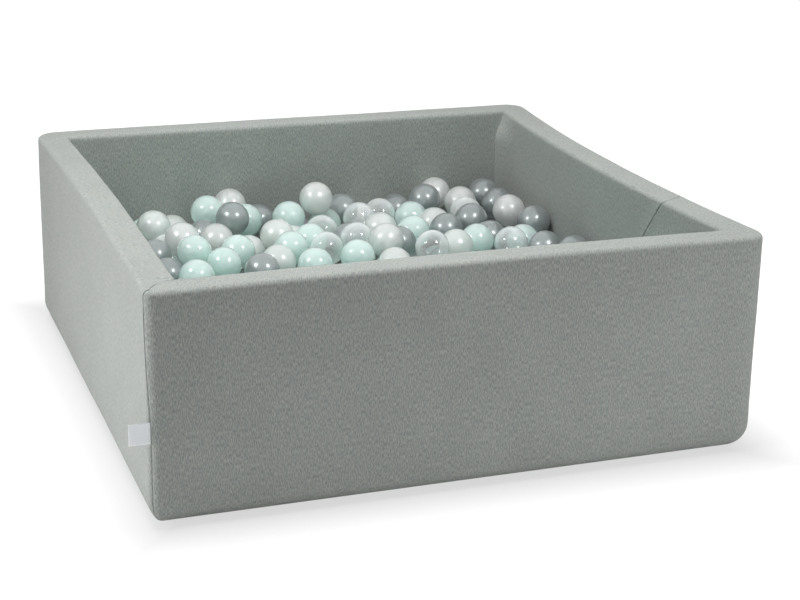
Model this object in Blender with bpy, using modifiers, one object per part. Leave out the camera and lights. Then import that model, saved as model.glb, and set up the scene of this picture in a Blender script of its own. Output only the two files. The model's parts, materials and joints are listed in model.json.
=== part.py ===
# Square foam ball pit with a knitted cover, filled with plastic balls.
# Metres, +Z up. The origin is the middle of the underside. -Y is the front wall, +X the right wall.

import math

import bmesh
import bpy
from mathutils import Matrix, Vector
from mathutils.bvhtree import BVHTree

# Whole pit
pit_width = 1.10
pit_depth = 1.10
pit_height = 0.40
wall_thickness = 0.060
fit_gap = 0.0003

# Knitted cover and its rounded edges
cloth_thickness = 0.0018
foot_radius = 0.045
rim_radius = 0.015
corner_radius = 0.045
seam_corner_radius = 0.018
seam_y = -0.295

# How far each wall's rim has sagged inwards at mid length
front_bow = 0.013
right_bow = 0.033
left_bow = 0.010

# Floor mat
mat_thickness = 0.030

# Zip along the foot of the back wall
zip_height = 0.075
zip_margin = 0.12
tape_width = 0.014
tape_thickness = 0.0008
coil_width = 0.0026
coil_height = 0.0018
coil_split = 0.0014
window_clearance = 0.0010
stop_length = 0.004
slider_length = 0.012
slider_width = 0.010
slider_plate = 0.0012
relief_clearance = 0.0022
bail_length = 0.008
bail_wire = 0.0010
bail_width = 0.0012
bail_play = 0.0002
pull_length = 0.024
pull_width = 0.0055
pull_thickness = 0.0010
pull_clearance = 0.0008

# Folded side tag
tag_reach = 0.034
tag_height = 0.036
tag_ply = 0.0004
tag_fold_radius = 0.0010
tag_middle = 0.168

# Balls
ball_diameter = 0.070
fill_height = 0.212
front_bed_spacing = 0.0058
rear_bed_clearance = 0.006
rear_bed_spacing = 0.0100
front_bed_edge = -0.050
front_bed_sway = 0.004
join_sink = 0.0020
drop_step = 0.0005

# Counts of facets
foot_segments = 4
rim_segments = 3
face_segments = 3
corner_segments = 4
tag_fold_segments = 2
wall_segments = 6
ball_facets = (12, 6)
joined_facets = (8, 4)
front_bed_facets = (8, 4)
rear_bed_facets = (6, 4)
spread_rounds = 200

# Places read from the photo, as shares: finish, across the inside, along it, ball widths over the fill
loose_ball_shares = [
    ("pearl", -0.350, 0.37, 0.51), ("pearl", -0.290, 0.46, -0.29), ("pearl", -0.325, 0.25, 0.29),
    ("mint", -0.330, 0.07, 0.00), ("pearl", -0.170, 0.48, 0.29), ("silver", -0.190, 0.34, 0.57),
    ("mint", -0.210, 0.21, 0.00), ("pearl", -0.115, 0.26, 0.17), ("silver", -0.200, 0.06, 0.06),
    ("pearl", -0.150, 0.12, 0.00), ("pearl", 0.005, 0.37, 0.74), ("mint", -0.105, 0.18, 0.11),
    ("clear", -0.035, 0.17, 0.06), ("mint", -0.085, 0.08, 0.00), ("silver", 0.090, 0.43, 0.00),
    ("clear", 0.090, 0.36, 0.06), ("clear", 0.170, 0.42, -0.11), ("pearl", 0.085, 0.13, 0.29),
    ("clear", 0.040, 0.19, 0.17), ("mint", 0.015, 0.11, 0.00), ("mint", 0.180, 0.23, 0.06),
    ("silver", 0.220, 0.47, -0.17), ("pearl", 0.320, 0.47, 0.23), ("silver", 0.270, 0.41, 0.23),
    ("clear", 0.340, 0.34, 0.11), ("silver", 0.330, 0.27, 0.11), ("silver", 0.430, 0.45, 0.17),
    ("silver", 0.435, 0.38, 0.11), ("pearl", 0.425, 0.29, 0.23), ("silver", 0.460, 0.20, 0.11),
    ("clear", 0.355, 0.11, 0.00), ("silver", 0.410, 0.06, 0.00), ("silver", 0.450, 0.00, 0.06),
    ("mint", 0.295, 0.15, 0.00), ("pearl", 0.230, 0.11, 0.06), ("silver", 0.250, 0.24, 0.06),
    ("clear", 0.165, 0.08, 0.23), ("mint", -0.205, 0.43, 0.29),
]
held_ball_shares = [
    ("mint", -0.315, 0.19, 0.11), ("mint", -0.055, 0.36, 0.40),
]
joined_ball_shares = [
    ("silver", -0.235, 0.37, 0.00), ("pearl", -0.225, 0.30, 0.00), ("mint", -0.260, 0.14, 0.00),
    ("silver", -0.115, 0.45, 0.00), ("mint", -0.145, 0.39, 0.17), ("pearl", -0.170, 0.27, -0.17),
    ("mint", -0.055, 0.24, 0.06), ("clear", 0.005, 0.32, -0.06), ("mint", 0.045, 0.38, 0.00),
    ("pearl", 0.135, 0.48, -0.17), ("pearl", 0.125, 0.29, 0.00), ("silver", 0.045, 0.26, -0.11),
    ("silver", 0.130, 0.18, 0.00), ("mint", 0.220, 0.37, 0.00), ("pearl", 0.340, 0.41, 0.17),
    ("silver", 0.345, 0.20, -0.11), ("pearl", 0.245, 0.30, 0.00), ("mint", -0.355, 0.43, -0.17),
    ("silver", -0.365, 0.24, 0.00), ("silver", -0.355, 0.18, -0.23), ("pearl", -0.065, 0.30, -0.23),
    ("pearl", 0.080, 0.07, -0.11), ("mint", 0.405, 0.17, -0.11), ("clear", -0.335, 0.31, -0.23),
]

# Depths of the packed balls and their block under the fill, in ball widths, and how near packed balls
# may come to a top ball and to the ones right under top balls, in ball pitches
rear_bed_depth_share = 0.743
rear_limit_depth_share = 0.457
front_bed_depth_share = 0.20
front_block_depth_share = 0.56
prop_room_share = 0.96
row_room_share = 0.75

half_width = pit_width / 2
half_depth = pit_depth / 2
inside_x = half_width - wall_thickness
inside_y = half_depth - wall_thickness
foam_offset = cloth_thickness + fit_gap
mat_bottom = cloth_thickness + fit_gap
mat_top = mat_bottom + mat_thickness
floor_level = mat_top + fit_gap + cloth_thickness
ball_radius = ball_diameter / 2
rear_bed_height = fill_height - rear_bed_depth_share * ball_diameter
rear_bed_limit = fill_height - rear_limit_depth_share * ball_diameter
front_bed_height = fill_height - front_bed_depth_share * ball_diameter
front_block_top = fill_height - front_block_depth_share * ball_diameter
room_back = inside_y - ball_radius - fit_gap
ball_pitch = ball_diameter + fit_gap
shade_angle = math.radians(50)
ball_shade_angle = math.radians(60)
golden_turn = math.pi * (3 - math.sqrt(5))
end_gap = 0.7 * fit_gap
tape_face = half_depth - cloth_thickness - fit_gap
tape_back = tape_face - tape_thickness
coil_face = tape_face + fit_gap + coil_height
slider_back = tape_back - fit_gap - slider_plate


# Scene and materials

def clear_scene():
    for thing in list(bpy.data.objects):
        bpy.data.objects.remove(thing)


def new_collection(name):
    collection = bpy.data.collections.new(name)
    bpy.context.scene.collection.children.link(collection)
    return collection


def new_material(name, colour, roughness, metallic=0.0, alpha=1.0):
    material = bpy.data.materials.new(name)
    material.use_nodes = True
    shader = material.node_tree.nodes["Principled BSDF"]
    shader.inputs["Base Color"].default_value = (*colour, 1.0)
    shader.inputs["Roughness"].default_value = roughness
    shader.inputs["Metallic"].default_value = metallic
    shader.inputs["Alpha"].default_value = alpha
    return material


clear_scene()
pit = new_collection("ball_pit")
cutters = new_collection("ball_pit_cutters")

knit = new_material("grey_melange_knit", (0.30, 0.32, 0.31), 0.95)
lining = new_material("grey_lining_knit", (0.25, 0.27, 0.26), 0.95)
foam = new_material("white_foam", (0.86, 0.85, 0.80), 0.9)
tape_cloth = new_material("grey_zip_tape", (0.22, 0.23, 0.23), 0.9)
coil_nylon = new_material("grey_zip_coil", (0.28, 0.29, 0.29), 0.45)
zip_metal = new_material("zip_metal", (0.55, 0.55, 0.56), 0.35, 0.9)
ribbon = new_material("white_ribbon", (0.85, 0.86, 0.86), 0.8)
finishes = {
    "pearl": new_material("pearl_plastic", (0.80, 0.80, 0.77), 0.3),
    "silver": new_material("silver_plastic", (0.30, 0.33, 0.34), 0.35, 0.5),
    "mint": new_material("mint_plastic", (0.55, 0.78, 0.68), 0.25),
    "clear": new_material("clear_plastic", (0.80, 0.85, 0.86), 0.1, 0.0, 0.4),
}
packed_plastic = new_material("packed_balls_plastic", (0.62, 0.70, 0.67), 0.35)


def add_object(name, bm, material, smooth_angle=None, collection=pit):
    bmesh.ops.recalc_face_normals(bm, faces=bm.faces)
    mesh = bpy.data.meshes.new(name)
    bm.to_mesh(mesh)
    bm.free()
    mesh.materials.append(material)
    if smooth_angle is not None:
        mesh.shade_smooth()
        mesh.set_sharp_from_angle(angle=smooth_angle)
    thing = bpy.data.objects.new(name, mesh)
    collection.objects.link(thing)
    return thing


def cut(thing, cutter, operation="DIFFERENCE"):
    cutter.hide_render = True
    cutter.display_type = "WIRE"
    modifier = thing.modifiers.new(cutter.name, "BOOLEAN")
    modifier.operation = operation
    modifier.solver = "EXACT"
    modifier.object = cutter
    return modifier


def put_origin(thing, point):
    """Moves an object's origin, and leaves its shape where it is."""
    thing.data.transform(Matrix.Translation(-point))
    thing.location = point


def box_mesh(low, high):
    bm = bmesh.new()
    low = Vector(low)
    high = Vector(high)
    size = high - low
    place = Matrix.Translation((low + high) / 2) @ Matrix.Diagonal((*size, 1.0))
    bmesh.ops.create_cube(bm, size=1.0, matrix=place)
    return bm


# The pit's walls are one outline: a rounded square outside and a plain square inside.
# A station is a place along that outline, and a ring is a place across the wall's section.

def sag(share):
    return max(0.0, 1.0 - (2.0 * share) ** 2)


def lift_at(height):
    return min(max((height - floor_level) / (pit_height - floor_level), 0.0), 1.0)


def bowed(point):
    lift = lift_at(point.z)
    across = point.x / half_width
    along = point.y / half_depth
    moved = point.copy()
    right_side = min(max(across, 0.0), 1.0)
    left_side = min(max(-across, 0.0), 1.0)
    front_side = min(max(-along, 0.0), 1.0)
    moved.x -= right_bow * sag(point.y / pit_depth) * lift * right_side
    moved.x += left_bow * sag(point.y / pit_depth) * lift * left_side
    moved.y += front_bow * sag(point.x / pit_width) * lift * front_side
    return moved


corners = {
    "front_left": (-1, -1, seam_corner_radius),
    "front_right": (1, -1, corner_radius),
    "back_right": (1, 1, corner_radius),
    "back_left": (-1, 1, corner_radius),
}
walls = {
    "front": (0, -1, "front_left", "front_right"),
    "right": (1, 0, "front_right", "back_right"),
    "back": (0, 1, "back_right", "back_left"),
    "left": (-1, 0, "back_left", "front_left"),
}


def clamp(value, limit):
    return min(max(value, -limit), limit)


def wall_point(wall, along, reach_x, reach_y):
    side_x, side_y = walls[wall][:2]
    if side_x == 0:
        return (clamp(along, reach_x), side_y * reach_y)
    return (side_x * reach_x, clamp(along, reach_y))


def corner_point(corner, turn, offset):
    side_x, side_y, radius = corners[corner]
    left = max(radius - offset, 0.0)
    reach_x = half_width - offset - left
    reach_y = half_depth - offset - left
    return (side_x * reach_x + left * math.cos(turn), side_y * reach_y + left * math.sin(turn))


def outer_point(station, offset):
    kind, name, value = station
    if kind == "corner":
        return corner_point(name, value, offset)
    return wall_point(name, value, half_width - offset, half_depth - offset)


def inner_point(station, offset):
    kind, name, value = station
    reach_x = inside_x + offset
    reach_y = inside_y + offset
    if kind == "corner":
        side_x, side_y, radius = corners[name]
        return (side_x * reach_x, side_y * reach_y)
    return wall_point(name, value, reach_x, reach_y)


def ring_point(station, ring):
    side, offset, height, order = ring
    x, y = outer_point(station, offset) if side == "outer" else inner_point(station, offset)
    return bowed(Vector((x, y, height)))


corner_starts = {"front_left": math.pi, "front_right": 1.5 * math.pi, "back_right": 0.0,
                 "back_left": 0.5 * math.pi}


def corner_stations(corner, first, last):
    start = corner_starts[corner]
    steps = range(first, last + 1)
    return [("corner", corner, start + math.pi / 2 * step / corner_segments) for step in steps]


def wall_stations(wall, start, end):
    places = [start + (end - start) * step / wall_segments for step in range(1, wall_segments)]
    if wall == "right":
        places = sorted(places + [seam_y])
    return [("wall", wall, place) for place in places]


face_low = max(foot_radius, floor_level + cloth_thickness)
face_high = pit_height - rim_radius
face_heights = [face_low + (face_high - face_low) * step / face_segments for step in range(1, face_segments)]


def skin_rings(offset, foot):
    """Rings of the wall's section at one offset under the outer surface, from the foot to the inside."""
    foot_reach = foot_radius - offset
    rim_reach = rim_radius - offset
    rings = []
    for step in range(foot_segments + 1):
        turn = math.pi / 2 * step / foot_segments
        rings.append(("outer", offset + foot_reach * (1 - math.sin(turn)),
                      offset + foot_reach * (1 - math.cos(turn))))
    rings += [("outer", offset, height) for height in face_heights]
    for step in range(rim_segments + 1):
        turn = math.pi / 2 * step / rim_segments
        rings.append(("outer", offset + rim_reach * (1 - math.cos(turn)),
                      pit_height - offset - rim_reach * (1 - math.sin(turn))))
    for step in range(rim_segments, -1, -1):
        turn = math.pi / 2 * step / rim_segments
        rings.append(("inner", offset + rim_reach * (1 - math.cos(turn)),
                      pit_height - offset - rim_reach * (1 - math.sin(turn))))
    rings += [("inner", offset, height) for height in reversed(face_heights)]
    rings.append(("inner", offset, floor_level + cloth_thickness))
    rings.append(("inner", offset, foot))
    return [(*ring, order) for order, ring in enumerate(rings)]


def loft(stations, rings):
    """A closed body through the stations, with the same closed section at each and a gap at both ends.

    The sag twists its panels. Each ring's last value is its order up the section, and the panels are
    split the same way by it on every layer, so that the layers keep their gap.
    """
    bm = bmesh.new()
    known = {}
    rows = []
    for index, station in enumerate(stations):
        row = []
        for number, ring in enumerate(rings):
            point = ring_point(station, ring)
            if index == 0:
                point += end_shift(stations[0], stations[1]) * end_gap
            if index == len(stations) - 1:
                point += end_shift(stations[-1], stations[-2]) * end_gap
            key = (number, round(point.x, 6), round(point.y, 6), round(point.z, 6))
            if key not in known:
                known[key] = bm.verts.new(point)
            row.append(known[key])
        rows.append(row)
    count = len(rings)
    for row, following in zip(rows, rows[1:]):
        for number in range(count):
            after = (number + 1) % count
            if rings[number][3] <= rings[after][3]:
                ring_face(bm, [row[number], row[after], following[after]])
                ring_face(bm, [row[number], following[after], following[number]])
            else:
                ring_face(bm, [row[number], row[after], following[number]])
                ring_face(bm, [row[after], following[after], following[number]])
    end_faces(bm, rows[0])
    end_faces(bm, rows[-1])
    return bm


def end_faces(bm, row):
    """Closes an end with a strip of triangles between its two sides, the same way on every piece."""
    last = len(row) - 1
    for number in range(len(row) // 2):
        ring_face(bm, [row[number], row[number + 1], row[last - number]])
        ring_face(bm, [row[number + 1], row[last - number - 1], row[last - number]])


def ring_face(bm, verts):
    kept = list(dict.fromkeys(verts))
    if len(kept) > 2:
        bm.faces.new(kept)


def end_shift(station, neighbour):
    here = Vector(outer_point(station, 0.0)).to_3d()
    there = Vector(outer_point(neighbour, 0.0)).to_3d()
    return (there - here).normalized()


# Knitted cover: two long strips, folded over the foam and sewn at two seams

half_turn = corner_segments // 2


def stretch(wall):
    """The stations of one wall between its two corners, in order round the pit."""
    first, last = walls[wall][2:]
    sign = 1 if wall in ("front", "right") else -1
    reach = half_width if wall in ("front", "back") else half_depth
    return wall_stations(wall, -sign * (reach - corners[first][2]), sign * (reach - corners[last][2]))


def front_strip_stations():
    stations = corner_stations("front_left", half_turn, corner_segments)
    stations += stretch("front")
    stations += corner_stations("front_right", 0, corner_segments)
    stations += [station for station in stretch("right") if station[2] <= seam_y]
    return stations


def rear_strip_stations():
    stations = [station for station in stretch("right") if station[2] >= seam_y]
    stations += corner_stations("back_right", 0, corner_segments)
    stations += stretch("back")
    stations += corner_stations("back_left", 0, corner_segments)
    stations += stretch("left")
    stations += corner_stations("front_left", 0, half_turn)
    return stations


def strip_rings():
    outside = skin_rings(0.0, mat_bottom)
    inside = skin_rings(cloth_thickness, mat_bottom)
    return outside + inside[::-1]


def add_cover_strips():
    rings = strip_rings()
    add_object("front_cover_strip", loft(front_strip_stations(), rings), knit, shade_angle)
    rear = add_object("rear_cover_strip", loft(rear_strip_stations(), rings), knit, shade_angle)
    tall = slider_width / 2 + window_clearance
    low = (-zip_length / 2, half_depth - foot_radius, zip_height - tall)
    high = (zip_length / 2, half_depth + foot_radius, zip_height + tall)
    window = add_object("zip_window_cutter", box_mesh(low, high), knit, None, cutters)
    cut(rear, window)


def add_panel(name, reach_x, reach_y, bottom, thickness, material):
    bm = box_mesh((-reach_x, -reach_y, bottom), (reach_x, reach_y, bottom + thickness))
    return add_object(name, bm, material)


def add_floor_layers():
    base_x = half_width - foot_radius - fit_gap
    base_y = half_depth - foot_radius - fit_gap
    add_panel("base_panel", base_x, base_y, 0.0, cloth_thickness, lining)
    mat_x = inside_x - fit_gap
    mat_y = inside_y - fit_gap
    add_panel("floor_mat_foam", mat_x, mat_y, mat_bottom, mat_thickness, foam)
    add_panel("floor_mat_cover", mat_x, mat_y, mat_top + fit_gap, cloth_thickness, lining)


# Foam boards: four, mitred at the corners

def board_stations(wall):
    first, last = walls[wall][2:]
    stations = corner_stations(first, half_turn, corner_segments)
    stations += stretch(wall)
    stations += corner_stations(last, 0, half_turn)
    return stations


def add_foam_boards():
    for wall in walls:
        rings = skin_rings(foam_offset, foam_offset)
        board = add_object(wall + "_foam_board", loft(board_stations(wall), rings), foam, shade_angle)
        if wall == "back":
            relieve_back_board(board)


def relieve_back_board(board):
    reach = zip_length / 2 + stop_length + slider_length
    tall = tape_width + coil_split
    low = (-reach, slider_back - relief_clearance, zip_height - tall)
    high = (reach, half_depth + foot_radius, zip_height + tall)
    cutter = add_object("zip_relief_cutter", box_mesh(low, high), foam, None, cutters)
    cut(board, cutter)


# Zip: two tapes with their coils, two stops, a slider and its pull

zip_length = pit_width - 2 * zip_margin
slider_x = zip_length / 2 - stop_length - slider_length / 2 - fit_gap
slider_top = coil_face + fit_gap + slider_plate
bail_room = math.sqrt(2) * pull_thickness + 2 * bail_play
bail_axis = Vector((slider_x, slider_top + bail_room / 2, zip_height))


def add_zip_tapes():
    reach = zip_length / 2 + stop_length
    for name, side in (("upper", 1), ("lower", -1)):
        near = zip_height + side * coil_split / 2
        far = near + side * tape_width
        low = (-reach, tape_face - tape_thickness, min(near, far))
        high = (reach, tape_face, max(near, far))
        add_object(name + "_zip_tape", box_mesh(low, high), tape_cloth)
        edge = near + side * coil_width
        run = zip_length / 2 - stop_length
        low = (-run, tape_face + fit_gap, min(near, edge))
        high = (run, coil_face, max(near, edge))
        bm = box_mesh(low, high)
        bmesh.ops.bevel(bm, geom=list(bm.edges), offset=coil_width / 5, segments=1, affect="EDGES")
        add_object(name + "_zip_coil", bm, coil_nylon)


def add_zip_stops():
    for name, side in (("start", 1), ("end", -1)):
        near = side * (zip_length / 2 - stop_length + fit_gap)
        far = side * (zip_length / 2 - fit_gap)
        tall = coil_split / 2 + coil_width
        low = (min(near, far), tape_face + fit_gap, zip_height - tall)
        high = (max(near, far), coil_face + fit_gap, zip_height + tall)
        bm = box_mesh(low, high)
        bmesh.ops.bevel(bm, geom=list(bm.edges), offset=stop_length / 12, segments=1, affect="EDGES")
        add_object("zip_" + name + "_stop", bm, zip_metal)


def slider_part(name, low, high):
    return add_object(name, box_mesh(low, high), zip_metal, None, cutters)


def add_zip_slider():
    half = slider_length / 2
    tall = slider_width / 2
    neck = coil_split / 2 - fit_gap
    low = (slider_x - half, coil_face + fit_gap, zip_height - tall)
    high = (slider_x + half, slider_top, zip_height + tall)
    bm = box_mesh(low, high)
    upright = [edge for edge in bm.edges if is_along_y(edge)]
    bmesh.ops.bevel(bm, geom=upright, offset=slider_width / 5, segments=3, affect="EDGES")
    slider = add_object("zip_slider", bm, zip_metal)
    low = (slider_x - half / 2, slider_back + slider_plate / 2, zip_height - neck)
    high = (slider_x + half / 2, slider_top - slider_plate / 2, zip_height + neck)
    cut(slider, slider_part("slider_neck", low, high), "UNION")
    low = (slider_x - half, slider_back, zip_height - tall)
    high = (slider_x + half, slider_back + slider_plate, zip_height + tall)
    cut(slider, slider_part("slider_back_plate", low, high), "UNION")
    cut(slider, bail_arch(), "UNION")
    put_origin(slider, Vector((slider_x, coil_face, zip_height)))
    return slider


def is_along_y(edge):
    first, second = edge.verts
    step = second.co - first.co
    return abs(step.y) > abs(step.x) + abs(step.z)


def bail_arch():
    half = bail_length / 2
    foot = slider_top - slider_plate / 2
    top = slider_top + bail_room + bail_wire
    bm = box_mesh((slider_x - half, foot, zip_height - bail_width / 2),
                  (slider_x + half, top, zip_height + bail_width / 2))
    outer_edges = [edge for edge in bm.edges if is_top_corner(edge, top)]
    bmesh.ops.bevel(bm, geom=outer_edges, offset=0.8 * bail_wire, segments=2, affect="EDGES")
    arch = add_object("slider_bail", bm, zip_metal, None, cutters)
    low = (slider_x - half + bail_wire, foot - bail_wire, zip_height - bail_width)
    high = (slider_x + half - bail_wire, top - bail_wire, zip_height + bail_width)
    hollow = add_object("slider_bail_hollow", box_mesh(low, high), zip_metal, None, cutters)
    cut(arch, hollow)
    return arch


def is_top_corner(edge, top):
    first, second = edge.verts
    level = (first.co.y + second.co.y) / 2
    step = second.co - first.co
    return abs(step.z) > abs(step.x) + abs(step.y) and abs(level - top) < fit_gap


def add_zip_pull(slider):
    """A flat pull whose end bar turns under the slider's bail."""
    half = pull_thickness / 2
    low = bail_axis + Vector((-half, -half, -pull_width / 2))
    high = bail_axis + Vector((pull_length - half, half, pull_width / 2))
    bm = box_mesh(low, high)
    corners_of_plate = [edge for edge in bm.edges if is_along_y(edge)]
    bmesh.ops.bevel(bm, geom=corners_of_plate, offset=pull_width / 4, segments=3, affect="EDGES")
    pull = add_object("zip_pull", bm, zip_metal)
    side = bail_width / 2 + pull_clearance
    low = bail_axis + Vector((half, -pull_thickness, -side))
    high = bail_axis + Vector((bail_length / 2 + pull_clearance, pull_thickness, side))
    cut(pull, add_object("pull_hole_cutter", box_mesh(low, high), zip_metal, None, cutters))
    put_origin(pull, bail_axis)
    pull.parent = slider
    pull.location -= slider.location


# Side tag: a ribbon folded double, its ends sewn into the corner seam

def tag_path():
    """Half the ribbon's loop in plan, from the seam at nought out to the fold."""
    path = [(0.0, -(fit_gap + tag_ply) / 2), (-tag_reach / 2, -tag_fold_radius)]
    for step in range(tag_fold_segments + 1):
        turn = math.pi / 2 * step / tag_fold_segments
        path.append((-tag_reach - tag_fold_radius * math.sin(turn), -tag_fold_radius * math.cos(turn)))
    return path


def add_side_tag():
    half = tag_path()
    path = half + [(x, -y) for x, y in reversed(half[:-1])]
    bm = bmesh.new()
    edge = [bm.verts.new((x, y, -tag_height / 2)) for x, y in path]
    for first, second in zip(edge, edge[1:]):
        bm.edges.new((first, second))
    drawn = bmesh.ops.extrude_edge_only(bm, edges=list(bm.edges))
    raised = [item for item in drawn["geom"] if isinstance(item, bmesh.types.BMVert)]
    bmesh.ops.translate(bm, verts=raised, vec=(0.0, 0.0, tag_height))
    tag = add_object("side_tag", bm, ribbon)
    thicken = tag.modifiers.new("ply", "SOLIDIFY")
    thicken.thickness = tag_ply
    thicken.offset = 0.0
    seam_x, seam_edge_y = corner_point("front_left", corner_starts["front_left"] + math.pi / 4, 0.0)
    tag.location = (seam_x - fit_gap - tag_ply, seam_edge_y, tag_middle)


# Balls: rough places are pushed apart, the packed bed rises to meet them, then each ball settles

def ball_limits(place):
    """How far left, right and forward a ball's centre may lie at this place."""
    lift = lift_at(place.z)
    room_x = inside_x - ball_radius - fit_gap
    left = -room_x + left_bow * sag(place.y / pit_depth) * lift
    right = room_x - right_bow * sag(place.y / pit_depth) * lift
    front = -room_back + front_bow * sag(place.x / pit_width) * lift
    return left, right, front


def kept_inside(place, back):
    left, right, front = ball_limits(place)
    place.x = min(max(place.x, left), right)
    place.y = min(max(place.y, front), back)


def start_places(rows):
    return [Vector((across * 2 * inside_x, along * 2 * inside_y, fill_height + lift * ball_diameter))
            for finish, across, along, lift in rows]


def push_apart(place, other):
    """Moves two places half and half until they are a ball apart, and returns how far short they were."""
    apart = place - other
    short = ball_pitch - apart.length
    if short <= 0.0:
        return 0.0
    push = apart.normalized() * (short / 2)
    place += push
    other -= push
    return short


def spread(places, back):
    for sweep in range(spread_rounds):
        worst = 0.0
        for index, place in enumerate(places):
            for other in places[:index]:
                worst = max(worst, push_apart(place, other))
            kept_inside(place, back)
        if worst < fit_gap / 30:
            break
    for place in places:
        kept_inside(place, back)


def height_under(spot, places, top):
    """The highest centre height at this spot under the places above it."""
    best = top
    for place in places:
        flat = (place.x - spot.x) ** 2 + (place.y - spot.y) ** 2
        if flat < ball_pitch ** 2:
            best = min(best, place.z - math.sqrt(ball_pitch ** 2 - flat))
    return best


def bed_places(front, back, top, spacing, places):
    """Rows of packed balls, every second row shifted by half a ball and all of them under the places."""
    step = ball_diameter + spacing
    rows = max(2, round((back - front) / (step * math.sin(math.pi / 3))) + 1)
    found = []
    for row in range(rows):
        y = front + (back - front) * row / (rows - 1)
        left, right = ball_limits(Vector((0.0, y, top)))[:2]
        columns = max(2, int((right - left) / step) + 1)
        column_step = (right - left) / (columns - 1)
        for column in range(columns - row % 2):
            spot = Vector((left + column_step * (column + 0.5 * (row % 2)), y, top))
            spot.z = height_under(spot, places, top)
            found.append(spot)
    return found


def props_under(places, separate):
    """The packed ball right under each top ball, where none of the top balls is in its way."""
    props = []
    for index, place in enumerate(places):
        sink = 0.0 if index < separate else join_sink
        prop = place - Vector((0.0, 0.0, ball_pitch - sink))
        others = [(prop - other).length for other in places if other is not place]
        if prop.z < rear_bed_limit and min(others) > prop_room_share * ball_pitch:
            props.append(prop)
    return props


def rear_bed_places(front, back, places, separate):
    bed = props_under(places, separate)
    for spot in bed_places(front, back, rear_bed_height, rear_bed_spacing, places):
        flat = [math.hypot(prop.x - spot.x, prop.y - spot.y) for prop in bed]
        if min(flat) > row_room_share * ball_pitch:
            bed.append(spot)
    return bed


def stacks_under(bed, top):
    """More packed balls under the ones that don't reach down into the block."""
    step = ball_pitch - join_sink
    stacks = []
    for place in bed:
        low = place.z
        while low - ball_radius > top - join_sink:
            low -= step
            stacks.append(Vector((place.x, place.y, low)))
    return stacks


def ball_mesh(facets):
    segments, rings = facets
    bm = bmesh.new()
    bmesh.ops.create_uvsphere(bm, u_segments=segments, v_segments=rings, radius=ball_radius)
    return bm


def triangles_of(bm):
    bmesh.ops.triangulate(bm, faces=list(bm.faces))
    bm.verts.index_update()
    points = [vert.co.copy() for vert in bm.verts]
    faces = [[vert.index for vert in face.verts] for face in bm.faces]
    bm.free()
    return points, faces


class Pile:
    """Balls that have come to rest, kept as meshes so that the next ball can be tried against them."""

    def __init__(self):
        self.parts = []

    def add(self, centre, shape):
        points, faces = shape
        moved = [point + centre for point in points]
        self.parts.append((centre.copy(), BVHTree.FromPolygons(moved, faces)))

    def meets(self, centre, shape):
        near = [tree for other, tree in self.parts if (other - centre).length < ball_pitch + ball_radius]
        if not near:
            return False
        points, faces = shape
        tree = BVHTree.FromPolygons([point + centre for point in points], faces)
        return any(tree.overlap(other) for other in near)


def dropped(place, shape, piles):
    """The place where a ball comes to rest when it is let down from here, just clear of the piles."""
    rest = place.copy()
    lowest = floor_level + ball_radius + fit_gap
    while rest.z > lowest and not any(pile.meets(rest, shape) for pile in piles):
        rest.z -= drop_step
    while any(pile.meets(rest, shape) for pile in piles):
        rest.z += drop_step / 5
    return rest


def settle_loose(place, shape, packed, loose):
    rest = dropped(place, shape, (packed, loose))
    rest.z += fit_gap
    loose.add(rest, shape)
    return rest


def settle_joined(place, shape, packed, loose):
    """Lets a ball down and presses it into the packed ones, but never into a loose one."""
    rest = dropped(place, shape, (packed, loose))
    sunk = rest.copy()
    while rest.z - sunk.z < join_sink:
        sunk.z -= drop_step / 5
        if loose.meets(sunk, shape):
            sunk.z += drop_step / 5 + fit_gap
            break
    packed.add(sunk, shape)
    return sunk


def front_row_places(front, places):
    """One more row of top balls over the front of the rear bed, where no other ball is near."""
    row = [spot for spot in bed_places(front, front + ball_pitch, front_bed_height, front_bed_spacing, [])
           if spot.y < front + ball_radius]
    return [spot for spot in row
            if min(math.hypot(other.x - spot.x, other.y - spot.y) for other in places) > ball_pitch]


def add_spheres(name, places, facets):
    segments, rings = facets
    bm = bmesh.new()
    for place in places:
        bmesh.ops.create_uvsphere(bm, u_segments=segments, v_segments=rings, radius=ball_radius,
                                  matrix=Matrix.Translation(place))
    return add_object(name, bm, packed_plastic, None, cutters)


def add_bed(name, front, back, top, clusters):
    """A block for the packed lower layers, with the balls of its top layers standing out of it."""
    left, right = ball_limits(Vector((0.0, 0.0, top)))[:2]
    low = (left - ball_radius, front, floor_level + fit_gap)
    high = (right + ball_radius, back, top)
    block = add_object(name, box_mesh(low, high), packed_plastic)
    for number, (places, facets) in enumerate(clusters, 1):
        union = cut(block, add_spheres(name + "_spheres_" + str(number), places, facets), "UNION")
        union.use_self = True


def add_rear_balls():
    rows = loose_ball_shares + held_ball_shares + joined_ball_shares
    separate = len(loose_ball_shares) + len(held_ball_shares)
    places = start_places(rows)
    spread(places, room_back)
    front = front_bed_edge + ball_radius + fit_gap
    places += front_row_places(front, places)
    bed = rear_bed_places(front, room_back, places, separate)
    packed = Pile()
    loose = Pile()
    bed_shape = triangles_of(ball_mesh(rear_bed_facets))
    for place in bed:
        packed.add(place, bed_shape)
    joined = []
    joined_shape = triangles_of(ball_mesh(joined_facets))
    ball_shape = triangles_of(ball_mesh(ball_facets))
    for index in sorted(range(len(places)), key=lambda number: places[number].z):
        if index < separate:
            places[index] = settle_loose(places[index], ball_shape, packed, loose)
        else:
            places[index] = settle_joined(places[index], joined_shape, packed, loose)
            joined.append(places[index])
    add_loose_balls(rows[:separate], places)
    top = min(place.z for place in places) - ball_radius - rear_bed_clearance
    bed += stacks_under(bed, top)
    add_bed("rear_ball_bed", front_bed_edge + fit_gap, inside_y - fit_gap, top,
            [(bed, rear_bed_facets), (joined, joined_facets)])


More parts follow.
